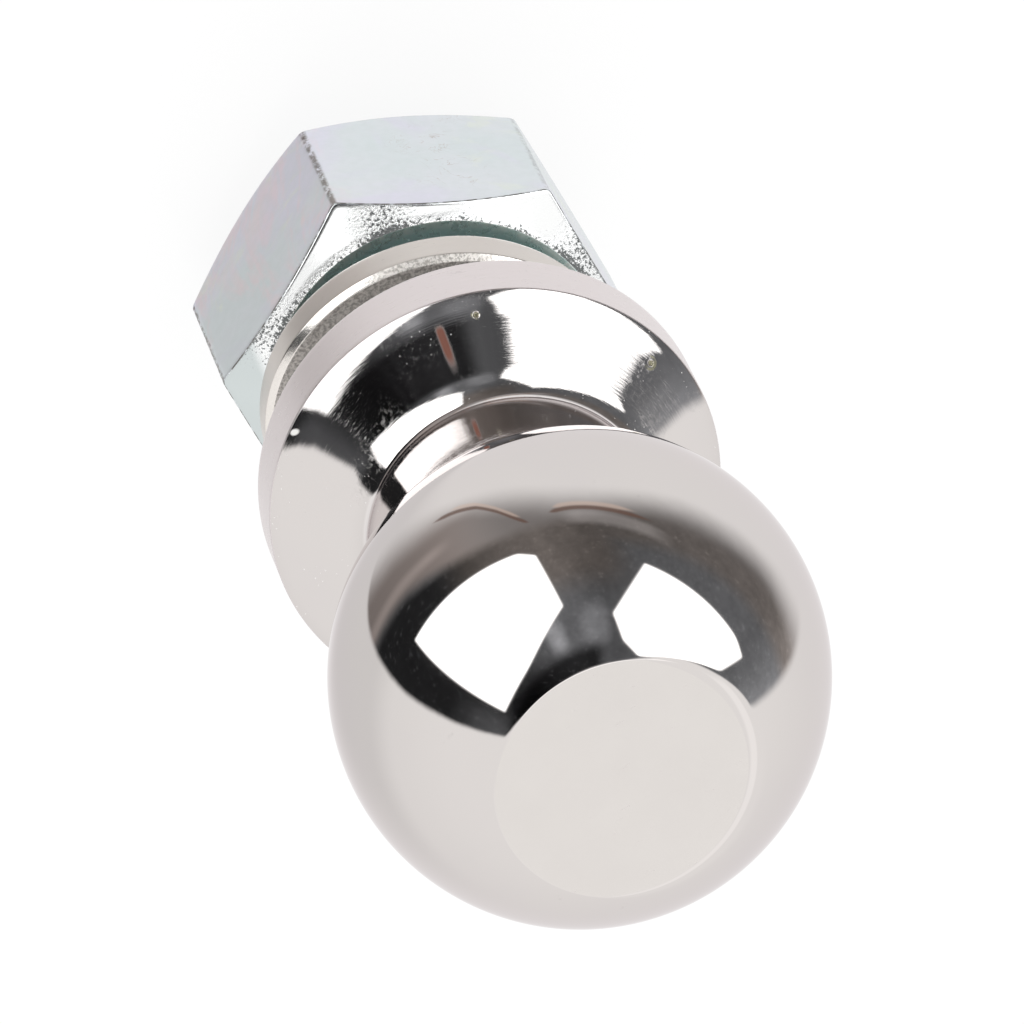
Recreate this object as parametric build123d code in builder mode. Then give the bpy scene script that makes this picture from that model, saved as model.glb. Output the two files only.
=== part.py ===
"""Threaded tow ball: a one-piece ball stud with its split lock washer and hex nut.

Millimetres. +Z runs along the shank towards the ball, and the origin is the centre of the
shank's flat end, on which the part stands. The nut is backed off from the flange and the
washer leans on the nut's top face, as the ball was photographed.
"""
import os
from math import cos, pi, radians, sin, sqrt, tan

from build123d import *

# Ball and its flat top
ball_d = 47.625                  # 1 7/8 in coupler ball
flat_d = 25.0                    # machined flat on the head
flat_edge_round = 0.8            # soft edge where the flat meets the sphere

# Neck and flange
neck_d = 28.4
ball_neck_round = 1.2            # fillet where the neck runs into the ball
neck_root_round = 2.0            # fillet ring where the neck meets the cone
flange_d = 45.2
flange_seat_below_ball = 45.5    # ball centre to the underside that sits on the drawbar
cone_edge_below_ball = 37.9      # ball centre to the sharp outer edge of the cone
cone_slope_deg = 36.0            # fall of the cone from the neck to its edge
flange_edge_break = 0.2          # fine break on the sharp upper edge
flange_under_chamfer = 1.2       # chamfer round the underside

# Threaded shank
shank_d = 25.34                  # 1 in thread, major diameter
shank_length = 50.0              # flange underside to the flat end
thread_pitch = 25.4 / 14         # fourteen threads to the inch
thread_stop_gap = 4.0            # plain shank left under the flange
thread_overcut = 0.1             # the cutter stands this far out of the shank
shank_tip_chamfer = 1.1 * thread_pitch

# Hex nut
nut_across_flats = 38.1          # 1 1/2 in spanner size
nut_height = 21.8
nut_face_drop = 19.0             # flange underside down to the nut's top face
nut_bore_gap = 0.05              # radial running clearance over the shank
nut_face_ratio = 0.913           # bearing circle over across flats
nut_chamfer_deg = 30.0
nut_mouth_chamfer = thread_pitch / 2  # countersink at both ends of the bore
nut_corner_azimuth = 36.5        # one corner, counted from +X as seen from the ball

# Split lock washer, relaxed and leaning on the nut
washer_bore_gap = 1.0            # radial slack over the shank, enough to lean and to shift
washer_bar_width = 4.8
washer_height = 4.1
washer_top_bevel = 1.0           # flat bevel round the upper outer edge
washer_foot_round = 0.5          # lower outer edge
washer_inner_round = 0.4
washer_split_gap = 1.6           # width of the cut along the mean circle
washer_end_step = 1.6            # rise from the low end of the cut to the high end
washer_lean_deg = 6.8            # the slack bore lets the relaxed ring lean
washer_high_azimuth = 243.0      # side that stands highest
washer_split_azimuth = 52.0      # side where the ring is cut
washer_shift = 0.7               # the ring hangs to one side of the shank
washer_shift_azimuth = -3.0
washer_rest_gap = 0.06           # lowest point of the ring above the nut's face

ball_r = ball_d / 2
flat_r = flat_d / 2
neck_r = neck_d / 2
flange_r = flange_d / 2
shank_r = shank_d / 2

# Unified thread form: flanks at 30 degrees, a crest flat of pitch / 8 and a root flat of pitch / 6
thread_depth = 0.6134 * thread_pitch
thread_root_r = shank_r - thread_depth
groove_depth = thread_depth + thread_overcut
groove_root_half = thread_pitch / 12
groove_mouth_half = groove_root_half + groove_depth * tan(radians(30))
groove_start_z = -thread_pitch
groove_height = shank_length - thread_stop_gap - groove_start_z

# Heights above the shank's end
seat_z = shank_length
ball_z = seat_z + flange_seat_below_ball
flat_z = ball_z + sqrt(ball_r**2 - flat_r**2)
cone_edge_z = ball_z - cone_edge_below_ball
cone_root_z = cone_edge_z + (flange_r - neck_r) * tan(radians(cone_slope_deg))
neck_top_z = ball_z - sqrt(ball_r**2 - neck_r**2)
nut_top_z = seat_z - nut_face_drop
nut_base_z = nut_top_z - nut_height


# The stud is one piece of steel: a threaded, chamfered shank under a turned flange, neck and ball
with BuildPart() as ball_stud:
    Cylinder(radius=shank_r, height=shank_length, align=(Align.CENTER, Align.CENTER, Align.MIN))
    groove_start = Plane(origin=(thread_root_r, 0, groove_start_z), x_dir=(1, 0, 0), z_dir=(0, 1, 0))
    with BuildLine() as groove_path:
        Helix(
            pitch=thread_pitch,
            height=groove_height,
            radius=thread_root_r,
            center=(0, 0, groove_start_z),
        )
    with BuildSketch(groove_start):
        with BuildLine():
            Polyline(
                (0, -groove_root_half),
                (groove_depth, -groove_mouth_half),
                (groove_depth, groove_mouth_half),
                (0, groove_root_half),
                close=True,
            )
        make_face()
    sweep(path=groove_path.line, is_frenet=True, mode=Mode.SUBTRACT)

    # The tip is chamfered by keeping what lies inside this outline
    with BuildSketch(Plane.XZ):
        with BuildLine():
            Polyline(
                (0, 0),
                (shank_r - shank_tip_chamfer, 0),
                (shank_r + thread_overcut, shank_tip_chamfer + thread_overcut),
                (shank_r + thread_overcut, seat_z),
                (0, seat_z),
                close=True,
            )
        make_face()
    revolve(axis=Axis.Z, mode=Mode.INTERSECT)

    with BuildSketch(Plane.XZ) as head_section:
        with BuildLine():
            Polyline(
                (0, flat_z),
                (0, seat_z),
                (flange_r - flange_under_chamfer, seat_z),
                (flange_r, seat_z + flange_under_chamfer),
                (flange_r, cone_edge_z),
                (neck_r, cone_root_z),
                (neck_r, neck_top_z),
            )
            ThreePointArc((neck_r, neck_top_z), (ball_r, ball_z), (flat_r, flat_z))
            Line((flat_r, flat_z), (0, flat_z))
        make_face()
        for corner, rounding in (
            ((neck_r, cone_root_z), neck_root_round),
            ((neck_r, neck_top_z), ball_neck_round),
            ((flat_r, flat_z), flat_edge_round),
            ((flange_r, cone_edge_z), flange_edge_break),
        ):
            fillet(head_section.vertices().sort_by_distance(corner)[0], radius=rounding)
    revolve(axis=Axis.Z)


# The washer is a bar of square section bent into one open turn of a left-hand helix
washer_inner_r = shank_r + washer_bore_gap
washer_outer_r = washer_inner_r + washer_bar_width
washer_mean_r = (washer_inner_r + washer_outer_r) / 2
washer_cut_deg = 360 * washer_split_gap / (2 * pi * washer_mean_r)
washer_turn = 1 - washer_cut_deg / 360
washer_lead = washer_end_step / washer_turn

# The ring leans about a level line, so its axis tips away from its high side
lean = radians(washer_lean_deg)
high = radians(washer_high_azimuth)
ring_axis = Vector(-sin(lean) * cos(high), -sin(lean) * sin(high), cos(lean))
low_end = radians(washer_split_azimuth - washer_cut_deg / 2)
low_end_spoke = Vector(cos(low_end), sin(low_end), 0)
ring_x = (low_end_spoke - ring_axis * low_end_spoke.dot(ring_axis)).normalized()

# Reach of the leaning ring below its middle
ring_reach = (
    (washer_outer_r - washer_foot_round) * sin(lean)
    + (washer_height / 2 - washer_foot_round) * cos(lean)
    + washer_foot_round
    + washer_end_step / 2
)
shift_way = radians(washer_shift_azimuth)
ring_middle = Vector(
    washer_shift * cos(shift_way),
    washer_shift * sin(shift_way),
    nut_top_z + washer_rest_gap + ring_reach,
)
ring_plane = Plane(origin=ring_middle, x_dir=ring_x, z_dir=ring_axis)

with BuildPart() as level_ring:
    with BuildLine() as washer_path:
        Helix(
            pitch=washer_lead,
            height=washer_end_step,
            radius=washer_mean_r,
            center=(0, 0, -washer_end_step / 2),
            lefthand=True,
        )
    path_start = washer_path.line @ 0
    with BuildSketch(Plane(origin=path_start, x_dir=(1, 0, 0), z_dir=washer_path.line % 0)) as bar_section:
        Rectangle(washer_bar_width, washer_height)
        inner_corners = bar_section.vertices().sort_by(Axis.X)[:2]
        foot_corner, top_corner = bar_section.vertices().sort_by(Axis.X)[2:].sort_by(Axis.Y)
        chamfer(top_corner, length=washer_top_bevel)
        fillet(foot_corner, radius=washer_foot_round)
        fillet(inner_corners, radius=washer_inner_round)
    sweep(path=washer_path.line, is_frenet=True)

with BuildPart() as lock_washer:
    with Locations(ring_plane):
        add(level_ring.part)


# The nut: a hexagon turned to a cone at both ends, then bored
nut_flat_r = nut_across_flats / 2
nut_corner_r = nut_flat_r / cos(radians(30))
nut_face_r = nut_flat_r * nut_face_ratio
nut_cone_r = nut_corner_r + 1
nut_cone_h = (nut_cone_r - nut_face_r) * tan(radians(nut_chamfer_deg))
nut_bore_r = shank_r + nut_bore_gap

with BuildPart() as hex_nut:
    with BuildSketch(Plane.XY.offset(nut_base_z)):
        RegularPolygon(nut_flat_r, 6, major_radius=False, rotation=nut_corner_azimuth)
    extrude(amount=nut_height)
    with BuildSketch(Plane.XZ):
        with BuildLine():
            Polyline(
                (0, nut_base_z),
                (nut_face_r, nut_base_z),
                (nut_cone_r, nut_base_z + nut_cone_h),
                (nut_cone_r, nut_top_z - nut_cone_h),
                (nut_face_r, nut_top_z),
                (0, nut_top_z),
                close=True,
            )
        make_face()
    revolve(axis=Axis.Z, mode=Mode.INTERSECT)
    with Locations((0, 0, nut_top_z)):
        Hole(radius=nut_bore_r, depth=nut_height)
    bore_rims = hex_nut.edges().filter_by(GeomType.CIRCLE).filter_by(
        lambda rim: abs(rim.radius - nut_bore_r) < 0.01
    )
    chamfer(bore_rims, length=nut_mouth_chamfer)


os.makedirs("parts", exist_ok=True)

ball_stud.part.label = "ball_stud"
export_step(ball_stud.part, "parts/ball_stud.step")
lock_washer.part.label = "lock_washer"
export_step(lock_washer.part, "parts/lock_washer.step")
hex_nut.part.label = "hex_nut"
export_step(hex_nut.part, "parts/hex_nut.step")
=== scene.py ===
import math

import bmesh
import bpy
import numpy as np
from mathutils import Matrix, Vector, noise


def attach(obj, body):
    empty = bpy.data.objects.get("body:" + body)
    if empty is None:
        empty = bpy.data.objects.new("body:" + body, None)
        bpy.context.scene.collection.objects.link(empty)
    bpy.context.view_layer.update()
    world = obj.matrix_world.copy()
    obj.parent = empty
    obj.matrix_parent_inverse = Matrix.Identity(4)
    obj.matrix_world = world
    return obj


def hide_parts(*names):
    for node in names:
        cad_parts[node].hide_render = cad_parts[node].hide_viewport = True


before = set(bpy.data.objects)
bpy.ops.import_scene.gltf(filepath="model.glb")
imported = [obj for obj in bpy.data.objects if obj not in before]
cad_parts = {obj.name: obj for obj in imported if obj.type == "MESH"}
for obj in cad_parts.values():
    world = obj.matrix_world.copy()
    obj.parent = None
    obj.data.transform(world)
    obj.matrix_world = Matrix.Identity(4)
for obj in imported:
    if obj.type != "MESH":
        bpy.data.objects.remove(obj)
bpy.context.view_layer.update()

MM = 0.001

# Sizes in millimetres, as the solids have them
BALL_R = 23.8125
BALL_Z = 95.5
FLAT_R = 12.5
NECK_R = 14.2
RIM_R = 22.6
CONE_EDGE_Z = 57.6
SEAT_Z = 50.0
SHANK_R = 12.67
PITCH = 25.4 / 14
TIP_CHAMFER = 1.1 * PITCH
NUT_TOP_Z = 31.0
NUT_BASE_Z = 9.2
NUT_FLAT_R = 19.05
NUT_FACE_R = 0.913 * NUT_FLAT_R
NUT_BORE_R = 12.72
NUT_CORNER = math.radians(36.5)
RING_IN = SHANK_R + 1.0
RING_WIDE = 4.8
RING_TALL = 4.1
RING_R = RING_IN + RING_WIDE / 2
RING_STEP = 1.6
RING_CUT = 1.6 / RING_R
RING_SPLIT_WAY = math.radians(52)
RING_LEAN = math.radians(6.8)
RING_HIGH_WAY = math.radians(243)
RING_SHIFT = 0.7
RING_SHIFT_WAY = math.radians(-3)
RING_REST_GAP = 0.06

# Finer details, also in millimetres
UNDER_CHAMFER = 1.2          # round the flange's underside
THREAD_DEPTH = 0.613 * PITCH
THREAD_END_Z = 45.8          # where the thread has run out under the flange
THREAD_FADE = 2.6            # length over which it runs out
THREAD_TOP_Z = SEAT_Z - 0.2  # where its mesh meets the flange's
SECTION_STEP = 0.1           # step along the cone's slope
EDGE_CRISP, EDGE_WORN = 0.06, 0.95   # rounding of the flat's edge, on its sharp and on its worn side
EDGE_WORN_WAY = math.radians(150)    # side where the flat's edge is most worn
NUT_CORNER_SOFT = 0.9
NUT_LOW_FACE_R = NUT_FLAT_R - 0.25
NUT_LOW_SLOPE, NUT_TOP_SLOPE = math.radians(36), math.radians(27.6)
NUT_MOUTH = PITCH / 2
NUT_DENT = 0.3
RING_FOOT, RING_BEVEL = 0.5, 0.62

STUD_COLUMNS = 192
RING_STEPS = 220
BALL_STEPS = 110
SIXTH = math.pi / 3
TURN_LOW, TURN_SPAN = -120, 200      # the degrees of the room that its height and tone lines cover


# ---------------------------------------------------------------- the camera

def place_camera():
    """A long lens, well above the stud and turned so that the ball hangs lower right."""
    data = bpy.data.cameras.new("camera")
    data.sensor_width = 36
    data.lens = 316.7                # narrow, as the picture was taken from a good way off
    data.clip_start, data.clip_end = 0.05, 20
    camera = bpy.data.objects.new("camera", data)
    bpy.context.scene.collection.objects.link(camera)
    right = Vector((-0.9077, 0.3641, 0.2087))
    back = Vector((0, -0.4973, 0.8676)).normalized()
    right = (right - back * right.dot(back)).normalized()
    up = back.cross(right)
    turn = Matrix((right, up, back)).transposed().to_4x4()
    camera.matrix_world = Matrix.Translation((-0.000744, -0.43706, 0.8242)) @ turn
    bpy.context.scene.camera = camera


# ---------------------------------------------------------------- shader sums

class Wire:
    """A node's output, so that shader maths reads as ordinary sums."""

    def __init__(self, finish, socket):
        self.finish, self.socket = finish, socket

    def sum(self, operation, *others, swap=False):
        terms = [self, *others]
        if swap:
            terms.reverse()
        return self.finish.add("ShaderNodeMath", {"operation": operation}, dict(enumerate(terms)))

    def __add__(self, other): return self.sum("ADD", other)
    def __radd__(self, other): return self.sum("ADD", other)
    def __sub__(self, other): return self.sum("SUBTRACT", other)
    def __rsub__(self, other): return self.sum("SUBTRACT", other, swap=True)
    def __mul__(self, other): return self.sum("MULTIPLY", other)
    def __rmul__(self, other): return self.sum("MULTIPLY", other)
    def __truediv__(self, other): return self.sum("DIVIDE", other)
    def __pow__(self, other): return self.sum("POWER", other)
    def __neg__(self): return self.sum("MULTIPLY", -1.0)
    def __abs__(self): return self.sum("ABSOLUTE")

    def at_most(self, other): return self.sum("MINIMUM", other)
    def at_least(self, other): return self.sum("MAXIMUM", other)

    def rise(self, start, end):
        """0 before start and 1 after end, with a soft run between them."""
        return self.finish.add(
            "ShaderNodeMapRange", {"interpolation_type": "SMOOTHSTEP"},
            {"Value": self, "From Min": start, "From Max": end})


class Finish:
    """One material's or world's node tree."""

    def __init__(self, owner):
        owner.use_nodes = True
        self.tree = owner.node_tree
        self.tree.nodes.clear()

    def add(self, kind, settings=None, sockets=None, out=0):
        node = self.tree.nodes.new(kind)
        for name, value in (settings or {}).items():
            if name == "stops":
                stops = node.color_ramp.elements
                while len(stops) < len(value):
                    stops.new(0.5)
                for stop, (place, tone) in zip(stops, value):
                    stop.position, stop.color = place, tone
            else:
                setattr(node, name, value)
        for name, value in (sockets or {}).items():
            if isinstance(value, Wire):
                self.tree.links.new(value.socket, node.inputs[name])
            else:
                node.inputs[name].default_value = value
        return Wire(self, node.outputs[out]) if len(node.outputs) else None

    def place(self):
        """Where a point lies on the part, in metres."""
        return self.add("ShaderNodeTexCoord", out="Object")

    def parts(self, vector):
        node = self.add("ShaderNodeSeparateXYZ", sockets={0: vector}).socket.node
        return [Wire(self, socket) for socket in node.outputs]

    def join(self, x, y, z):
        return self.add("ShaderNodeCombineXYZ", sockets={0: x, 1: y, 2: z})

    def even(self, value):
        """A number as a grey."""
        return self.join(value, value, value)

    def stretch(self, vector, factors):
        return self.add("ShaderNodeVectorMath", {"operation": "MULTIPLY"}, {0: vector, 1: factors})

    def grain(self, where, scale, detail=2.0, rough=0.5, twist=0.0):
        return self.add("ShaderNodeTexNoise", sockets={
            "Vector": where, "Scale": scale, "Detail": detail, "Roughness": rough, "Distortion": twist})

    def cells(self, where, scale):
        return self.add(
            "ShaderNodeTexVoronoi", {"feature": "F1"}, {"Vector": where, "Scale": scale}, "Distance")

    def blend(self, mask, low, high):
        """low where mask is 0, high where it is 1, for colours."""
        return self.add("ShaderNodeMix", {"data_type": "RGBA"}, {0: mask, 6: low, 7: high}, 2)

    def smooth_ramp(self, value, stops):
        ramp = self.add("ShaderNodeValToRGB", {"stops": stops}, {0: value})
        ramp.socket.node.color_ramp.interpolation = "B_SPLINE"
        return ramp

    def bump(self, height, distance, strength=1.0, normal=None):
        sockets = {"Height": height, "Distance": distance, "Strength": strength}
        if normal is not None:
            sockets["Normal"] = normal
        return self.add("ShaderNodeBump", sockets=sockets)

    def metal(self, colour, rough, normal=None, **fixed):
        sockets = {"Base Color": colour, "Roughness": rough, "Metallic": 1.0, **fixed}
        if normal is not None:
            sockets["Normal"] = normal
        shader = self.add("ShaderNodeBsdfPrincipled", sockets=sockets)
        self.add("ShaderNodeOutputMaterial", sockets={"Surface": shader})


def material(name):
    made = bpy.data.materials.new(name)
    return made, Finish(made)


def grey(level):
    return (level, level, level, 1)


# ---------------------------------------------------------------- the room

def window(parts, corners, soft):
    """1 inside the window whose corners are these directions, taken in order."""
    x, y, z = parts
    inside = None
    for one, two in zip(corners, corners[1:] + corners[:1]):
        a, b, c = Vector(one).cross(Vector(two)).normalized()
        side = (x * a + y * b + z * c).rise(-soft, soft)
        inside = side if inside is None else inside * side
    return inside


WINDOW_LEFT = [
    (0.787, -0.583, -0.203), (0.609, -0.406, 0.682), (0.309, -0.677, 0.668), (-0.111, -0.890, 0.442),
    (-0.075, -0.997, -0.030), (0.034, -0.993, -0.111)]
WINDOW_RIGHT = [
    (-0.720, -0.680, 0.140), (-0.429, -0.716, 0.550), (-0.419, -0.564, 0.711), (-0.476, -0.399, 0.783),
    (-0.844, 0.095, 0.528), (-0.937, 0.166, 0.307), (-0.965, 0.035, 0.260), (-0.935, -0.268, 0.230)]
WINDOW_LIGHT = (2.2, 2.2, 2.2, 1)


def height_line(finish, turn, stops):
    """A line across the room: stops are (turn, height), both in degrees."""
    low, high = min(h for _, h in stops) - 1, max(h for _, h in stops) + 1
    return tone_line(finish, turn, [(t, (h - low) / (high - low)) for t, h in stops]) * (high - low) + low


def tone_line(finish, turn, stops):
    """A tone that changes across the room: stops are (turn in degrees, tone)."""
    places = [((t - TURN_LOW) / TURN_SPAN, grey(tone)) for t, tone in stops]
    return finish.smooth_ramp((turn - TURN_LOW) / TURN_SPAN, places)


def room(finish, way):
    """What a mirror sees along way: pale walls, a bright ceiling, and a dark side with two lit windows.
    turn is the degrees round from the front, and climb is the degrees above the level."""
    x, y, z = finish.parts(way)
    turn = x.sum("ARCTAN2", -y) * math.degrees(1)
    climb = z.sum("ARCSINE") * math.degrees(1)
    wobble = finish.grain(way, 3.2, 3.0, 0.6) - 0.5
    blotch = finish.grain(way, 9.0, 5.0, 0.65)

    # the pale walls, and the ceiling over the front half
    wall = 0.97 + climb.rise(-25, 25) * 0.06
    wall = wall - turn.rise(20, 60) * turn.rise(155, 110) * climb.rise(-12, -30) * 0.13
    wall = wall + y.rise(0.1, 0.3) * climb.rise(36, 42) * climb.rise(57, 52) * 0.12
    ceiling = climb.rise(59.5, 62) * y.rise(0.1, -0.1)
    pale = finish.stretch((1.0, 0.985, 0.98), finish.even(wall + ceiling * 0.6))

    # the haze that leads from the pale floor into the dark side
    haze_start = height_line(finish, turn, [
        (-115, -34.5), (-37, -34.5), (-24, -38), (-11, -47), (2, -54), (15, -58), (28, -63), (41, -67),
        (54, -69), (67, -68)])
    haze_end = height_line(finish, turn, [
        (-115, -4), (-102, -15), (-76, -15), (-37, -14), (-24, -12), (-11, -17), (2, -26), (15, -40),
        (28, -41), (41, -42), (54, -45), (67, -46)])
    haze = ((climb + wobble * 4 - haze_start) / (haze_end - haze_start)).rise(0.0, 1.0)
    haze_tone = tone_line(finish, turn, [
        (-115, 0.36), (-102, 0.17), (-76, 0.17), (-24, 0.20), (2, 0.25), (15, 0.33), (28, 0.28),
        (41, 0.24), (67, 0.20)])
    lintel = abs(climb + (turn - 20).at_most(30) * 0.1 + 33.5).rise(5, 0) * turn.rise(20, 34)

    # the dark side itself, blotched, with light spilling round the windows
    dark_start = height_line(finish, turn, [
        (-115, -16), (-24, -14), (2, -17), (15, -19), (28, -22.5), (41, -27), (54, -31), (67, -31.5)])
    deep = (climb + wobble * 4 - dark_start).rise(-5, 4)
    dark_tone = tone_line(finish, turn, [
        (-118, 0.34), (-108, 0.20), (-99, 0.15), (-76, 0.15), (-50, 0.13), (-37, 0.105), (-24, 0.10),
        (-11, 0.18), (2, 0.16), (15, 0.115), (26, 0.05), (36, 0.018), (67, 0.018)])
    corner_light = turn.rise(50, 68) * climb.rise(15, 40) * climb.rise(50, 43) * 0.08
    under_sill = climb.rise(43, 51) * turn.rise(-28, -16) * 0.85
    speckled = finish.grain(way, 24, 4.0, 0.65)
    murk = (dark_tone * (1 - under_sill) + corner_light) * (0.42 + blotch * 0.66 + speckled * 0.5)
    murk = murk + finish.grain(way, 24, 3.0, 0.6).rise(0.60, 0.74) * 0.05
    right_sill = (turn + 22).rise(13, 3) * (turn + 22).rise(-10, -2) * climb.rise(24, 34) * climb.rise(50, 42)
    left_sill = (turn - 3).rise(8, 0) * (turn - 3).rise(-9, -1) * climb.rise(27, 35) * climb.rise(50, 40)
    murk = murk + (right_sill * 0.13 + left_sill * 0.28) * (0.4 + blotch * 1.2)
    inside = haze_tone * (1 + lintel * 0.45) * (1 - deep) + murk * deep
    brown = (turn.rise(-45, -28) * turn.rise(38, 20) * climb.rise(26, 8)).at_least(
        turn.rise(38, 20) * climb.rise(4, -6) * 0.9)
    tint = finish.blend(brown, (0.97, 1.0, 1.06, 1), (1.10, 0.985, 0.92, 1))
    gloom = finish.stretch(tint, finish.even(inside))
    reddish = finish.blend(turn.rise(0, 30), (1.06, 0.99, 0.97, 1), (1.12, 0.98, 0.93, 1))
    gloom = finish.blend(deep, finish.stretch(reddish, finish.even(inside)), gloom)

    # where the dark side ends above and at its two sides
    top = height_line(finish, turn, [
        (-115, 24), (-102, 33.5), (-89, 40), (-76, 44), (-60, 50), (-45, 56), (-30, 58), (-11, 59),
        (2, 59.5), (15, 59.5), (28, 59), (41, 57.5), (54, 54.5), (67, 48), (75, 43)])
    below_top = (climb - top + wobble * 2).rise(1.6, -1.6)
    wedge = (turn + wobble * 2).rise(72.5, 69.5) * turn.rise(-121, -116.5)
    colour = finish.blend(haze * below_top * wedge, pale, gloom)

    # two thin brown arcs under the windows, each with a pale fringe, and a band of light over the right one
    left_arc = climb - height_line(finish, turn, [
        (-20, -10), (-10, -17), (-4, -23), (2, -34), (9, -44), (19, -49.5), (30, -52.5)])
    right_arc = climb - height_line(finish, turn, [
        (-72, -7), (-57, -13), (-47, -16), (-37, -19), (-27, -21.8), (-18, -22.8), (-5, -21)])
    arcs = (abs(left_arc) + turn.rise(-5, -10) * 4 + turn.rise(22, 36) * 3).at_most(
        abs(right_arc) + turn.rise(-18, -11) * 4 + turn.rise(-42, -62) * 3)
    fringe = (abs(left_arc + 2.4) + turn.rise(-2, -9) * 4 + turn.rise(14, 26) * 3).at_most(
        abs(right_arc + 2.4) + turn.rise(-20, -13) * 4 + turn.rise(-38, -54) * 3)
    glow = right_arc.rise(1, 4) * right_arc.rise(11, 7) * turn.rise(-60, -48) * turn.rise(-17, -25) * 0.16
    colour = finish.blend(glow, colour, (1.1, 1.05, 1.05, 1))
    colour = finish.blend(fringe.rise(2.2, 0.5) * 0.5, colour, (0.86, 0.66, 0.55, 1))
    colour = finish.blend(arcs.rise(2.0, 0.5) * 0.8, colour, (0.17, 0.095, 0.07, 1))

    lit = window((x, y, z), WINDOW_LEFT, 0.010).at_least(window((x, y, z), WINDOW_RIGHT, 0.012))
    return finish.blend(lit, colour, WINDOW_LIGHT)


def build_room():
    """The world: the camera sees it as plain white, and the metal sees the room."""
    world = bpy.data.worlds.new("room")
    bpy.context.scene.world = world
    world.cycles.sampling_method = "NONE"
    finish = Finish(world)
    way = finish.add("ShaderNodeTexCoord", out="Generated")
    seen = finish.add("ShaderNodeLightPath", out="Is Camera Ray")
    lit = finish.add("ShaderNodeBackground", sockets={"Color": room(finish, way), "Strength": 1.0})
    white = finish.add("ShaderNodeBackground", sockets={"Color": grey(1.0), "Strength": 1.0})
    shader = finish.add("ShaderNodeMixShader", sockets={0: seen, 1: lit, 2: white})
    finish.add("ShaderNodeOutputWorld", sockets={"Surface": shader})


def build_floor():
    """A plain round table top. It keeps the stud's shadow; the mirrors see the room instead."""
    rings, spokes = 24, 96
    corners = [(0, 0, 0)]
    for r in (0.03 * 1.24 ** i for i in range(rings)):
        corners += [(r * math.cos(2 * math.pi * s / spokes), r * math.sin(2 * math.pi * s / spokes), 0)
                    for s in range(spokes)]
    faces = [(0, 1 + s, 1 + (s + 1) % spokes) for s in range(spokes)]
    for ring in range(rings - 1):
        a, b = 1 + ring * spokes, 1 + (ring + 1) * spokes
        faces += [(a + s, b + s, b + (s + 1) % spokes, a + (s + 1) % spokes) for s in range(spokes)]
    mesh = bpy.data.meshes.new("table_top")
    mesh.from_pydata(corners, [], faces)
    table = bpy.data.objects.new("table_top", mesh)
    bpy.context.scene.collection.objects.link(table)
    made, finish = material("white_table")
    seen = finish.add("ShaderNodeLightPath", out="Is Camera Ray")
    lit = finish.add("ShaderNodeEmission", sockets={"Color": grey(1.0), "Strength": 1.0})
    plain = finish.add("ShaderNodeBsdfDiffuse", sockets={"Color": grey(0.85)})
    shader = finish.add("ShaderNodeMixShader", sockets={0: seen * 0.88, 1: plain, 2: lit})
    finish.add("ShaderNodeOutputMaterial", sockets={"Surface": shader})
    table.visible_glossy = False
    made.cycles.emission_sampling = "NONE"
    mesh.materials.append(made)


def hang_lamp():
    """One broad soft lamp overhead, for the shadow. It doesn't show in the metal."""
    data = bpy.data.lights.new("soft_light_above", "AREA")
    data.shape = "RECTANGLE"
    data.size, data.size_y = 0.9, 0.9
    data.energy = 7
    lamp = bpy.data.objects.new("soft_light_above", data)
    bpy.context.scene.collection.objects.link(lamp)
    way = Vector((0.2, 0.3, 1.0)).normalized()
    lamp.location = Vector((0, 0, 0.06)) + way * 1.2
    lamp.rotation_mode = "QUATERNION"
    lamp.rotation_quaternion = way.to_track_quat("Z", "Y")
    lamp.visible_glossy = False


# ---------------------------------------------------------------- mesh helpers

def rounded(points, rounds, steps):
    """An outline with its inner corners softened. Each round is the length trimmed off both sides of its
    corner."""
    out = [Vector(points[0])]
    for before, corner, after, cut in zip(points, points[1:], points[2:], rounds):
        before, corner, after = Vector(before), Vector(corner), Vector(after)
        if not cut:
            out.append(corner)
            continue
        start = corner + (before - corner).normalized() * cut
        end = corner + (after - corner).normalized() * cut
        for step in range(steps + 1):
            t = step / steps
            out.append(start * (1 - t) ** 2 + corner * 2 * t * (1 - t) + end * t ** 2)
    out.append(Vector(points[-1]))
    return out


def divide(points, longest):
    """The same outline with no step longer than this."""
    out = [points[0]]
    for one, two in zip(points, points[1:]):
        count = max(1, math.ceil((two - one).length / longest))
        out += [one.lerp(two, (k + 1) / count) for k in range(count)]
    return out


def skin(name, rows, bands, materials, wrap_shift=0):
    """A closed-round mesh from rows of points. bands gives each row gap's material number.
    wrap_shift joins the last column to the first that many rows on, as a helix needs."""
    rows = np.asarray(rows, float)
    count, width = rows.shape[:2]
    faces, numbers = [], []
    for r in range(count - 1):
        for c in range(width):
            n = (c + 1) % width
            shift = wrap_shift if n == 0 else 0
            if r + 1 + shift >= count and shift:
                continue
            far = r + shift
            faces.append((r * width + c, far * width + n, (far + 1) * width + n, (r + 1) * width + c))
            numbers.append(bands[r])
    mesh = bpy.data.meshes.new(name)
    mesh.from_pydata((rows.reshape(-1, 3) * MM).tolist(), [], faces)
    for made in materials:
        mesh.materials.append(made)
    mesh.polygons.foreach_set("material_index", numbers)
    piece = bpy.data.objects.new(name, mesh)
    bpy.context.scene.collection.objects.link(piece)
    return piece


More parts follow.
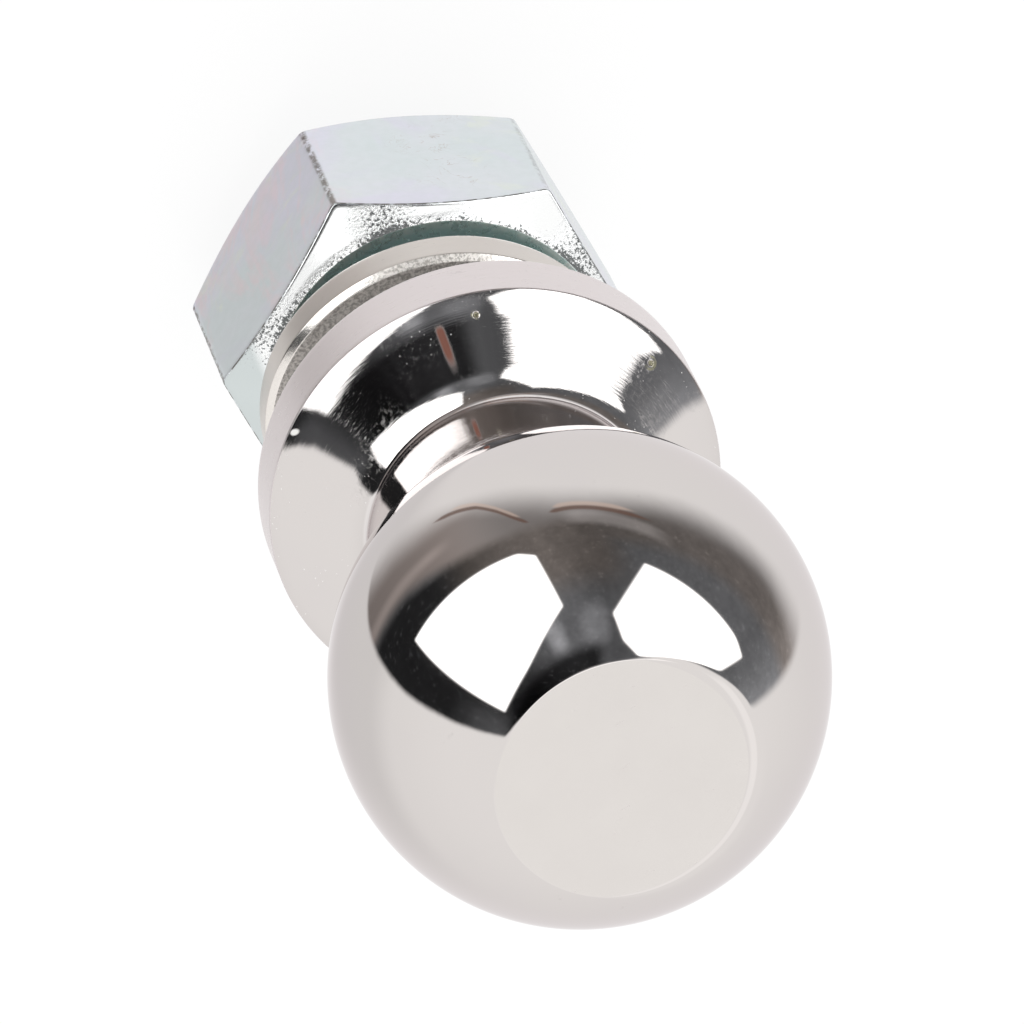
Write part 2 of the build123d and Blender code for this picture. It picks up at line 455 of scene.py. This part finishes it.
def tidy_mesh(piece, sharp_deg):
    """Joins meeting points, turns the faces outwards and smooths them up to an angle."""
    work = bmesh.new()
    work.from_mesh(piece.data)
    bmesh.ops.remove_doubles(work, verts=work.verts, dist=2e-6)
    bmesh.ops.dissolve_degenerate(work, edges=work.edges, dist=1e-6)
    holes = [e for e in work.edges if e.is_boundary]
    if holes:
        bmesh.ops.holes_fill(work, edges=holes)
    bmesh.ops.recalc_face_normals(work, faces=work.faces)
    limit = math.radians(sharp_deg)
    for face in work.faces:
        face.smooth = True
    for edge in work.edges:
        edge.smooth = len(edge.link_faces) != 2 or edge.calc_face_angle() < limit
    work.to_mesh(piece.data)
    work.free()
    weigh = piece.modifiers.new("even_shading", "WEIGHTED_NORMAL")
    weigh.keep_sharp = True
    weigh.weight = 60


# ---------------------------------------------------------------- the ball stud

def ball_point(angle):
    """A point of the ball's outline, angle being counted from its lowest point."""
    return Vector((BALL_R * math.sin(angle), BALL_Z - BALL_R * math.cos(angle)))


def stud_section(flat_edge):
    """Half outline of the stud above its thread, from the shank up to the middle of the flat, with a finish
    number for each run: 0 chrome, 1 satin, 2 thread, 3 flat. flat_edge is how far the flat's edge is worn."""
    flat_z = BALL_Z + math.sqrt(BALL_R ** 2 - FLAT_R ** 2)
    outline, bands = [], []

    def run(points, band, longest):
        points = divide([Vector(p) for p in points], longest)
        if outline:
            points = points[1:]
        outline.extend(points)
        bands.extend([band] * (len(points) - (0 if bands else 1)))

    # the flange's underside and rim
    under_r, cone_r = RIM_R - UNDER_CHAMFER, RIM_R - 0.1
    run(rounded([(SHANK_R, THREAD_TOP_Z), (SHANK_R, SEAT_Z), (under_r, SEAT_Z)], [0.15], 3), 2, 1.4)
    rim = [(under_r, SEAT_Z), (RIM_R, SEAT_Z + UNDER_CHAMFER), (RIM_R, CONE_EDGE_Z - 0.2)]
    run(rounded(rim, [0.3], 3), 1, 0.8)
    run([rim[-1], (RIM_R - 0.03, CONE_EDGE_Z - 0.06), (cone_r, CONE_EDGE_Z + 0.03)], 1, 0.4)

    # the cone, whose slope in degrees changes with the radius
    radii = [22.5, 22.2, 21.4, 20.7, 20.3, 16.4, 16.0, 15.5, 15.0, 14.6, 14.4]
    slopes = [47, 43, 36.5, 35, 33.4, 33.2, 36, 42, 49, 56, 60]
    r, z = cone_r, CONE_EDGE_Z + 0.03
    cone = [(r, z)]
    while r > NECK_R + 0.26:
        slope = np.interp(-(r - SECTION_STEP / 2), [-x for x in radii], slopes)
        r, z = r - SECTION_STEP, z + SECTION_STEP * math.tan(math.radians(slope))
        cone.append((r, z))
    run(cone, 0, 0.3)

    # the neck, with a ring at its root and a fillet under the ball
    foot = (NECK_R, z + 0.85)
    run(rounded([cone[-1], (NECK_R, z + 0.42), foot], [0.42], 8), 0, 0.3)
    neck_top = BALL_Z - math.sqrt(BALL_R ** 2 - NECK_R ** 2)
    lead = math.asin(NECK_R / BALL_R) + math.radians(2.6)
    run(rounded([foot, (NECK_R, neck_top), ball_point(lead)], [0.95], 6), 0, 0.6)

    # the ball, whose last steps close up towards the worn edge, and the flat
    top = math.pi - math.asin(FLAT_R / BALL_R)
    ball = [ball_point(lead + (top - lead) * k / BALL_STEPS) for k in range(BALL_STEPS + 1)]
    last = ball_point(top - math.asin(flat_edge / BALL_R))
    close = [ball[-9].lerp(last, (k + 1) / 8) for k in range(7)]
    ball = ball[:-8] + [Vector((p[0], BALL_Z + math.sqrt(BALL_R ** 2 - p[0] ** 2))) for p in close]
    inner = FLAT_R - flat_edge - 0.1
    edge = rounded([ball[-1], (FLAT_R, flat_z), (inner, flat_z)], [flat_edge], 5)
    run(ball, 0, 9)
    run([ball[-1]] + edge[1:-1], 0, 9)
    run([(inner + (0.4 - inner) * k / 8, flat_z) for k in range(9)], 3, 9)
    return outline, bands


def thread_rows(columns):
    """Rows of the right-hand thread, cut into the plain shank and running out below the flange."""
    shape = [(0.0, 0.0), (0.0625, 0.0), (0.24, 0.5), (0.39, 0.93), (0.44, 1.0), (0.56, 1.0), (0.61, 0.93),
             (0.76, 0.5), (0.9375, 0.0)]     # share of the pitch, and share of the depth
    count = math.ceil((THREAD_TOP_Z + 2 * PITCH) / PITCH)
    rows = []
    for turn in range(-2, count):
        for part, cut in shape:
            row = []
            for c in range(columns):
                angle = 2 * math.pi * c / columns
                z = (turn + part - 0.5 + c / columns) * PITCH
                held = min(max(z, 0.0), THREAD_TOP_Z)
                fade = min(1, max(0, (THREAD_END_Z - held) / THREAD_FADE))
                r = SHANK_R - THREAD_DEPTH * cut * fade * (1 if 0 < z < THREAD_TOP_Z else 0)
                r = min(r, SHANK_R - TIP_CHAMFER + held)
                row.append((r * math.cos(angle), r * math.sin(angle), held))
            rows.append(row)
    return rows, len(shape)


def build_stud(materials):
    """The thread and everything above it, joined into one piece."""
    rows, per_turn = thread_rows(STUD_COLUMNS)
    thread = skin("shank_thread", rows, [2] * len(rows), materials, per_turn)
    crisp, bands = stud_section(EDGE_CRISP)
    worn, _ = stud_section(EDGE_WORN)
    upper = []
    for sharp, soft in zip(crisp, worn):
        row = []
        for c in range(STUD_COLUMNS):
            a = 2 * math.pi * c / STUD_COLUMNS
            share = max(0.0, math.cos(a - EDGE_WORN_WAY)) ** 0.7
            p = Vector(sharp).lerp(Vector(soft), share)
            row.append((p[0] * math.cos(a), p[0] * math.sin(a), p[1]))
        upper.append(row)
    stud = skin("threaded_ball_stud", upper, bands, materials)
    with bpy.context.temp_override(active_object=stud, object=stud, selected_editable_objects=[stud, thread]):
        bpy.ops.object.join()
    tidy_mesh(stud, 48)
    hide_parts("ball_stud")
    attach(stud, "stud_body")


# ---------------------------------------------------------------- the nut

def from_corner(turn):
    """The angle to the nearest of the nut's corners, which lie a sixth of a turn apart."""
    return (turn + SIXTH / 2) % SIXTH - SIXTH / 2


def hex_reach(turn):
    """Distance from the axis to the nut's side, with its upright corners softened."""
    turn = from_corner(turn)
    centre = (NUT_FLAT_R - NUT_CORNER_SOFT) / math.cos(SIXTH / 2)
    limit = math.atan2(NUT_CORNER_SOFT * 0.5, centre + NUT_CORNER_SOFT * math.cos(SIXTH / 2))
    if abs(turn) < limit:
        return centre * math.cos(turn) + math.sqrt(NUT_CORNER_SOFT ** 2 - (centre * math.sin(turn)) ** 2)
    return NUT_FLAT_R / math.cos(SIXTH / 2 - abs(turn))


def nut_turns():
    """Angles of the nut's columns, close together near its corners."""
    steps = [0, 0.25, 0.5, 0.8, 1.2, 1.7, 2.3, 3.0, 4.0, 5.2, 6.6, 8.2, *range(10, 31, 2)]
    half = [math.radians(s) for s in steps]
    one = [-h for h in reversed(half[1:])] + half[:-1]
    return [k * SIXTH + t for k in range(6) for t in one]


def nut_outline(turn):
    """Half section of the nut at one angle, from the middle of the bore down, round and back to it. Its
    finish numbers: 0 flats, 1 chamfers, 2 faces, 3 bore, 4 the worn edge of the flats."""
    side = hex_reach(turn)
    low_rise = (side - NUT_LOW_FACE_R) * math.tan(NUT_LOW_SLOPE)
    fall = (side - NUT_FACE_R) * math.tan(NUT_TOP_SLOPE)
    middle = (NUT_BORE_R, (NUT_TOP_Z + NUT_BASE_Z) / 2)
    mouth_r = NUT_BORE_R + NUT_MOUTH
    corners = [
        middle, (NUT_BORE_R, NUT_BASE_Z + NUT_MOUTH), (mouth_r, NUT_BASE_Z), (NUT_LOW_FACE_R, NUT_BASE_Z),
        (side, NUT_BASE_Z + low_rise), (side, NUT_TOP_Z - fall), (NUT_FACE_R, NUT_TOP_Z),
        (mouth_r, NUT_TOP_Z), (NUT_BORE_R, NUT_TOP_Z - NUT_MOUTH), middle]
    shares = [6, 3, 6, 10, 44, 10, 6, 3, 6]
    cuts = [0.1, 0.1, 0.08, 0.12, 0.2, 0.08, 0.1, 0.1]
    bands_of = [3, 3, 2, 1, 0, 1, 2, 3, 3]
    points, bands = [Vector(corners[0])], []
    ends = [0.0] + cuts + [0.0]
    for k, (one, two) in enumerate(zip(corners, corners[1:])):
        one, two = Vector(one), Vector(two)
        way = (two - one).normalized()
        start, end = one + way * ends[k], two - way * ends[k + 1]
        for step in range(shares[k]):
            points.append(start.lerp(end, (step + 1) / shares[k]))
            bands.append(bands_of[k])
        if k + 1 < len(corners) - 1:
            after = (Vector(corners[k + 2]) - two).normalized()
            far = two + after * cuts[k]
            near = points[-1].copy()
            for t in (0.25, 0.5, 0.75, 1.0):
                points.append(near * (1 - t) ** 2 + two * 2 * t * (1 - t) + far * t ** 2)
                edge = {bands_of[k], bands_of[k + 1]} == {0, 1} and 0.3 < t < 0.8
                bands.append(4 if edge else bands_of[k] if t < 0.6 else bands_of[k + 1])
    return points, bands


def build_nut(materials):
    """The nut, with small dents along its upright corners."""
    columns = []
    for turn in nut_turns():
        points, bands = nut_outline(turn)
        angle = NUT_CORNER + turn
        edge = max(0.0, 1 - math.degrees(abs(from_corner(turn))) / 1.7)
        column = []
        for p in points:
            spot = Vector((p[0] * math.cos(angle), p[0] * math.sin(angle), p[1]))
            if p[0] > NUT_FACE_R + 0.2 and NUT_BASE_Z + 2.4 < p[1] < NUT_TOP_Z - 3.1:
                nick = noise.noise(spot * 1.4) + 0.6 * noise.noise(spot * 3.1)
                dent = edge * max(0.0, nick - 0.05) * NUT_DENT
                spot.x -= dent * math.cos(angle)
                spot.y -= dent * math.sin(angle)
            column.append(spot)
        columns.append(column)
    rows = [[columns[c][r] for c in range(len(columns))] for r in range(len(columns[0]))]
    nut = skin("backed_off_hex_nut", rows, bands, materials)
    tidy_mesh(nut, 60)
    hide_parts("hex_nut")
    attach(nut, "nut_body")


# ---------------------------------------------------------------- the lock washer

def build_washer(materials):
    """A square bar bent into one open left-hand turn, cut square at both ends and leaning on the nut."""
    tip = math.sin(RING_LEAN)
    axis = Vector((
        -tip * math.cos(RING_HIGH_WAY), -tip * math.sin(RING_HIGH_WAY), math.cos(RING_LEAN)))
    low_end = RING_SPLIT_WAY - RING_CUT / 2
    spoke = Vector((math.cos(low_end), math.sin(low_end), 0))
    across = (spoke - axis * spoke.dot(axis)).normalized()
    along = axis.cross(across)
    w, h = RING_WIDE / 2, RING_TALL / 2
    foot, bevel = RING_FOOT, RING_BEVEL
    reach = (RING_R + w - foot) * tip + (h - foot) * math.cos(RING_LEAN) + foot + RING_STEP / 2
    middle = Vector((
        RING_SHIFT * math.cos(RING_SHIFT_WAY), RING_SHIFT * math.sin(RING_SHIFT_WAY),
        NUT_TOP_Z + RING_REST_GAP + reach))

    # the bar's section, whose finish numbers are 0 sides, 1 top, 2 bevel
    loop = rounded([(0, -h), (w, -h), (w, h - bevel), (w - bevel, h), (-w, h), (-w, -h), (0, -h)],
                   [foot, 0.12, 0.12, 0.4, 0.4], 6)[:-1]
    section = divide(loop + [loop[0]], 0.45)[:-1]
    side_of = []
    for k, p in enumerate(section):
        m = (p + section[(k + 1) % len(section)]) / 2
        on_bevel = m[0] + m[1] > w + h - bevel - 0.12 and m[0] > w - bevel and m[1] > h - bevel
        side_of.append(2 if on_bevel else 1 if m[1] > h - 0.25 and m[0] <= w - bevel else 0)

    # the bar bent round, one section after another
    sweep = 2 * math.pi - RING_CUT
    rows = []
    pitch_angle = math.atan2(RING_STEP, RING_R * sweep)
    for k in range(RING_STEPS + 1):
        t = -sweep * k / RING_STEPS
        out = across * math.cos(t) + along * math.sin(t)
        forward = across * math.sin(t) - along * math.cos(t)
        up = axis * math.cos(pitch_angle) - forward * math.sin(pitch_angle)
        centre = middle + out * RING_R + axis * (-RING_STEP / 2 + RING_STEP * k / RING_STEPS)
        rows.append([centre + out * p[0] + up * p[1] for p in section])
    width = len(section)
    faces, numbers = [], []
    for r in range(RING_STEPS):
        for c in range(width):
            n = (c + 1) % width
            faces.append((r * width + c, r * width + n, (r + 1) * width + n, (r + 1) * width + c))
            numbers.append(side_of[c])
    faces += [tuple(range(width)), tuple(range(RING_STEPS * width, (RING_STEPS + 1) * width))]
    numbers += [0, 0]
    mesh = bpy.data.meshes.new("split_lock_washer")
    mesh.from_pydata([tuple(v * MM) for row in rows for v in row], [], faces)
    for made in materials:
        mesh.materials.append(made)
    mesh.polygons.foreach_set("material_index", numbers)
    washer = bpy.data.objects.new("split_lock_washer", mesh)
    bpy.context.scene.collection.objects.link(washer)
    tidy_mesh(washer, 50)
    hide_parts("lock_washer")
    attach(washer, "washer_body")


# ---------------------------------------------------------------- finishes

def spot_mask(finish, place, spot, size, soft=0.35):
    """1 within size of a spot given in millimetres."""
    spot = tuple(v * MM for v in spot)
    away = finish.add("ShaderNodeVectorMath", {"operation": "DISTANCE"}, {0: place, 1: spot}, "Value")
    return away.rise(size * MM * (1 + soft), size * MM * (1 - soft))


def polished_chrome():
    """Plated and buffed. The ball is clean; the cone and neck keep turning marks, two pits, a chip, a brown
    stain and dust. The neck, from its root ring up to the ball, is painted lighter: painted light that
    brightens its reflections."""
    made, finish = material("polished_chrome")
    place = finish.place()
    x, y, z = finish.parts(place)
    out = (x * x + y * y) ** 0.5
    low = z.rise(0.0772, 0.0764)
    on_cone = z.rise(0.0640, 0.0634)
    smear = finish.grain(place, 60, 4, 0.6)
    turned = finish.grain(finish.join(out - z, x / out * 0.0012, y / out * 0.0012), 5200, 3, 0.65)
    patchy = finish.grain(place, 130, 3, 0.6).rise(0.42, 0.62)
    frost = finish.grain(place, 2100, 3, 0.7).rise(0.47, 0.63) * patchy * on_cone
    dust = finish.cells(place, 1500).rise(0.15, 0.07) * finish.grain(place, 260, 2).rise(0.47, 0.6) * on_cone
    small_pit, large_pit = (-5.58, -20.03, 58.92), (-19.03, -7.26, 59.22)
    pits = spot_mask(finish, place, small_pit, 0.30).at_least(spot_mask(finish, place, large_pit, 0.30))
    pit_rims = spot_mask(finish, place, small_pit, 0.52, 0.12).at_least(
        spot_mask(finish, place, large_pit, 0.74, 0.12))
    pit_rims = pit_rims * (1 - pits) * finish.grain(place, 800, 2).rise(0.42, 0.56)
    chip = spot_mask(finish, finish.stretch(place, (0.55, 1.2, 1.0)), (8.31, -19.39, 57.95), 0.34)
    along = x * -0.087 + y * -0.996
    aside = x * 0.996 - y * 0.087
    length = along.rise(0.0158, 0.0190) * along.rise(0.0213, 0.0202)
    stain = (abs(aside).rise(0.00075, 0.0001) * length * on_cone).rise(0.1, 0.9)
    smudge = finish.grain(place, 260, 4, 0.7).rise(0.66, 0.78) * (1 - low)
    colour = finish.blend(smear.rise(0.4, 0.7), (0.700, 0.672, 0.655, 1), (0.690, 0.662, 0.650, 1))
    colour = finish.blend(smudge * 0.4, colour, (0.52, 0.49, 0.48, 1))
    # painted light: the neck, from its root ring up to the ball, gets a lighter chrome colour, a painted
    # brightening of its reflections
    neck = low * z.rise(0.0636, 0.0642)
    colour = finish.blend(neck * 0.9, colour, (0.90, 0.87, 0.86, 1))
    colour = finish.blend(pit_rims, colour, (0.50, 0.48, 0.34, 1))
    colour = finish.blend(pits, colour, (0.34, 0.32, 0.22, 1))
    colour = finish.blend(stain, colour, (0.32, 0.145, 0.11, 1))
    colour = finish.blend((dust * 0.8).at_least(chip), colour, (0.74, 0.74, 0.72, 1))
    rough = 0.035 + smear * 0.02 + frost * 0.14 + pits * 0.2
    metallic = 1 - (dust * 0.8).at_least(chip).at_least(stain * 0.6).at_least(pit_rims * 0.35)
    wave = finish.bump(finish.grain(place, 90, 2, 0.5), 0.00001, 0.4)
    marks = finish.bump(turned * low, 0.000004, 1.0, wave)
    sunk = finish.bump(1 - pits, 0.00012, 1.0, marks)
    finish.metal(colour, rough, sunk, Metallic=metallic, **{"Specular Tint": (0.90, 0.88, 0.89, 1)})
    return made


def satin_chrome():
    """The flange's rim: turned, plated and not buffed, with a few dark specks."""
    made, finish = material("satin_chrome")
    place = finish.place()
    fine = finish.grain(finish.stretch(place, (1, 1, 12)), 400, 3, 0.6)
    specks = finish.grain(place, 900, 3, 0.7).rise(0.62, 0.74)
    colour = finish.blend(fine, (0.72, 0.67, 0.67, 1), (0.78, 0.73, 0.735, 1))
    colour = finish.blend(specks * 0.35, colour, (0.50, 0.46, 0.46, 1))
    finish.metal(colour, 0.24 + fine * 0.1, finish.bump(fine, 0.000015, 0.4))
    return made


def dull_thread():
    """The thread, plated and left dull."""
    made, finish = material("dull_plated_thread")
    place = finish.place()
    fine = finish.grain(place, 700, 4, 0.6)
    colour = finish.blend(fine, (0.55, 0.54, 0.53, 1), (0.72, 0.71, 0.70, 1))
    finish.metal(colour, 0.28 + fine * 0.15, finish.bump(fine, 0.00002, 0.4))
    return made


def machined_flat():
    """The flat on the ball: faint turned rings, clouding and scuffs."""
    made, finish = material("machined_flat")
    place = finish.place()
    x, y, _ = finish.parts(place)
    out = (x * x + y * y) ** 0.5
    rings = finish.grain(finish.join(out, 0.0, 0.0), 2600, 3, 0.6)
    cloud = finish.grain(place, 180, 4, 0.6)
    scuff = finish.grain(finish.stretch(place, (1, 3.2, 1)), 420, 5, 0.7).rise(0.62, 0.72)
    colour = finish.blend(cloud, (0.695, 0.668, 0.645, 1), (0.725, 0.70, 0.675, 1))
    colour = finish.blend(scuff * 0.3, colour, (0.60, 0.57, 0.55, 1))
    relief = rings * 0.4 + cloud + scuff * 0.3
    finish.metal(colour, 0.17 + cloud * 0.08 + scuff * 0.1, finish.bump(relief, 0.00001, 0.35))
    return made


def washer_side():
    """Satin side with fine lines along the bar and small scratches."""
    made, finish = material("washer_side")
    place = finish.place()
    lines = finish.grain(finish.stretch(place, (1, 1, 9)), 420, 4, 0.65)
    cloud = finish.grain(place, 90, 3, 0.6)
    scratch = finish.grain(finish.stretch(place, (1, 1, 5)), 900, 3, 0.7).rise(0.64, 0.74)
    colour = finish.blend(cloud, (0.64, 0.60, 0.57, 1), (0.74, 0.71, 0.67, 1))
    colour = finish.blend(scratch * 0.45, colour, (0.42, 0.39, 0.36, 1))
    finish.metal(colour, 0.24 + lines * 0.14, finish.bump(lines, 0.00002, 0.6))
    return made


def washer_bevel():
    """Bright where it is smooth, speckled where the plating is rough."""
    made, finish = material("washer_bevel")
    place = finish.place()
    fine = finish.grain(place, 3200, 4, 0.7)
    x = finish.parts(place)[0]
    rough_part = x.rise(0.004, 0.000) * x.rise(-0.012, -0.008)
    speckle = fine.rise(0.45, 0.6) * (rough_part * 0.8 + 0.05)
    colour = finish.blend(speckle, (0.84, 0.81, 0.77, 1), (0.40, 0.38, 0.35, 1))
    finish.metal(colour, 0.16 + rough_part * 0.22, finish.bump(fine * (rough_part * 0.9 + 0.1), 0.00009, 0.8))
    return made


def washer_top():
    """The upper side of the bar, rough and grey."""
    made, finish = material("washer_top")
    place = finish.place()
    fine = finish.grain(place, 3000, 5, 0.7)
    colour = finish.blend(fine.rise(0.38, 0.60), (0.38, 0.36, 0.34, 1), (0.76, 0.73, 0.70, 1))
    finish.metal(colour, 0.42 + fine * 0.14, finish.bump(fine, 0.00005, 0.9))
    return made


def corner_nearness(x, y):
    """0 away from the nut's six upright corners, 1 on them."""
    turn = y.sum("ARCTAN2", x) * math.degrees(1) - math.degrees(NUT_CORNER) + 30 + 360
    return abs(turn.sum("MODULO", 60.0) - 30).rise(1.25, 0.3)


def zinc_flats():
    """Bright zinc: milky grey-blue with faint lilac, rose and green patches, scuffs, and worn dark
    corners."""
    made, finish = material("zinc_flats")
    place = finish.place()
    x, y, _ = finish.parts(place)
    cloud = finish.grain(place, 70, 4, 0.6)
    fine = finish.grain(place, 900, 4, 0.65)
    colour = finish.blend(cloud.rise(0.35, 0.65), (0.72, 0.79, 0.81, 1), (0.76, 0.80, 0.84, 1))
    lilac = finish.grain(place, 55, 3, 0.6, 1.0).rise(0.46, 0.62)
    colour = finish.blend(lilac * 0.6, colour, (0.76, 0.745, 0.88, 1))
    rose = finish.grain(finish.stretch(place, (1, 1, 0.6)), 85, 4, 0.65, 1.5).rise(0.52, 0.66)
    colour = finish.blend(rose * 0.42 * x.rise(-0.002, 0.006), colour, (0.92, 0.70, 0.74, 1))
    green = finish.grain(finish.stretch(place, (0.8, 1, 1)), 120, 4, 0.6, 0.8).rise(0.58, 0.70)
    colour = finish.blend(green * 0.4, colour, (0.80, 0.86, 0.74, 1))
    colour = finish.blend(fine.rise(0.35, 0.65) * 0.14, colour, (0.62, 0.69, 0.68, 1))
    web = finish.grain(place, 170, 3, 0.6, 3.0)
    thin = abs(web - 0.5).rise(0.010, 0.002) * finish.grain(place, 600, 2).rise(0.4, 0.55)
    where = spot_mask(finish, place, (-8.27, -17.18, 15.4), 3.0, 0.7).at_least(
        spot_mask(finish, place, (-9.2, -16.8, 22.6), 3.4, 0.7))
    scuff = thin * where.at_least(finish.grain(place, 110, 2).rise(0.66, 0.74) * 0.5)
    colour = finish.blend(scuff * 0.6, colour, (0.40, 0.31, 0.26, 1))
    gritty = finish.grain(place, 1500, 4, 0.75)
    worn = corner_nearness(x, y) * gritty.rise(0.40, 0.56) * (0.3 + x.rise(-0.010, 0.0) * 0.7)
    colour = finish.blend(worn * 0.8, colour, (0.24, 0.215, 0.19, 1))
    relief = fine * 0.5 + worn * 2
    finish.metal(colour, 0.27 + fine * 0.1 + worn * 0.15, finish.bump(relief, 0.00002, 0.7))
    return made


def zinc_chamfer():
    """Smooth bright zinc with clusters of fine pitting, fraying to grey along the bearing face, and painted
    shade in a faint mint tint on its +x side.
    """
    made, finish = material("zinc_chamfer")
    place = finish.place()
    x, y, _ = finish.parts(place)
    out = (x * x + y * y) ** 0.5
    dense = finish.grain(place, 120, 2).rise(0.55, 0.8) * 0.6
    for spot, size in (((-1.1, -18.5, 30.3), 2.6), ((14.6, -13.4, 30.3), 3.6), ((-18.2, -5.6, 30.3), 3.2)):
        dense = dense.at_least(spot_mask(finish, place, spot, size, 0.8))
    rough_edge = out.rise(0.01835, 0.01745)
    gritty = finish.grain(place, 3200, 4, 0.7)
    level = 0.69 - dense * 0.19 - rough_edge * 0.17
    dark = gritty.rise(level, level + 0.06)
    colour = finish.blend(dark, (0.95, 0.97, 0.97, 1), (0.16, 0.17, 0.17, 1))
    # painted shade: the chamfer's +x side is painted darker, in a faint mint tint, so that its reflection
    # comes out darker there
    mint_painted_shade = x.rise(0.0150, 0.0165)
    colour = finish.blend(mint_painted_shade * (1 - dark) * 0.9, colour, (0.58, 0.64, 0.64, 1))
    relief = gritty * (dense * 1.1 + rough_edge * 0.5 + 0.05).at_most(1.0)
    finish.metal(colour, 0.12 + dense * 0.12, finish.bump(relief, 0.00006, 0.8))
    return made


def zinc_edge():
    """The worn line between the flats and the chamfer."""
    made, finish = material("zinc_worn_edge")
    place = finish.place()
    gritty = finish.grain(place, 900, 4, 0.7)
    colour = finish.blend(gritty.rise(0.40, 0.56), (0.74, 0.78, 0.80, 1), (0.24, 0.235, 0.225, 1))
    finish.metal(colour, 0.55 + gritty * 0.15, finish.bump(gritty, 0.00004, 0.7))
    return made


def zinc_bearing_face():
    """The nut's flat faces: green-blue and speckled, paler towards the chamfer."""
    made, finish = material("zinc_bearing_face")
    place = finish.place()
    x, y, _ = finish.parts(place)
    out = (x * x + y * y) ** 0.5
    cloud = finish.grain(place, 70, 4, 0.6)
    fine = finish.grain(place, 900, 4, 0.65)
    specks = finish.grain(place, 1300, 3, 0.7).rise(0.62, 0.72)
    colour = finish.blend(cloud.rise(0.35, 0.65), (0.48, 0.70, 0.70, 1), (0.57, 0.77, 0.77, 1))
    colour = finish.blend(specks * 0.5, colour, (0.78, 0.82, 0.80, 1))
    edge = out.rise(0.0161, 0.0174) * (0.35 + fine.rise(0.35, 0.6) * 0.65)
    colour = finish.blend(edge * 0.8, colour, (0.93, 0.98, 0.96, 1))
    finish.metal(colour, 0.22 + fine * 0.12, finish.bump(fine, 0.00002, 0.6))
    return made


def zinc_bore():
    """The bore and its mouths, a little darker than the faces."""
    made, finish = material("zinc_bore")
    place = finish.place()
    cloud = finish.grain(place, 70, 4, 0.6)
    fine = finish.grain(place, 900, 4, 0.65)
    colour = finish.blend(cloud.rise(0.35, 0.65), (0.60, 0.66, 0.68, 1), (0.68, 0.72, 0.74, 1))
    finish.metal(colour, 0.3 + fine * 0.12, finish.bump(fine, 0.00002, 0.6))
    return made


# ---------------------------------------------------------------- everything in place

place_camera()
build_room()
build_floor()
hang_lamp()

chrome, satin, thread, flat = polished_chrome(), satin_chrome(), dull_thread(), machined_flat()
build_stud([chrome, satin, thread, flat])
build_washer([washer_side(), washer_top(), washer_bevel()])
build_nut([zinc_flats(), zinc_chamfer(), zinc_bearing_face(), zinc_bore(), zinc_edge()])

scene = bpy.context.scene
scene.view_settings.view_transform = "Standard"
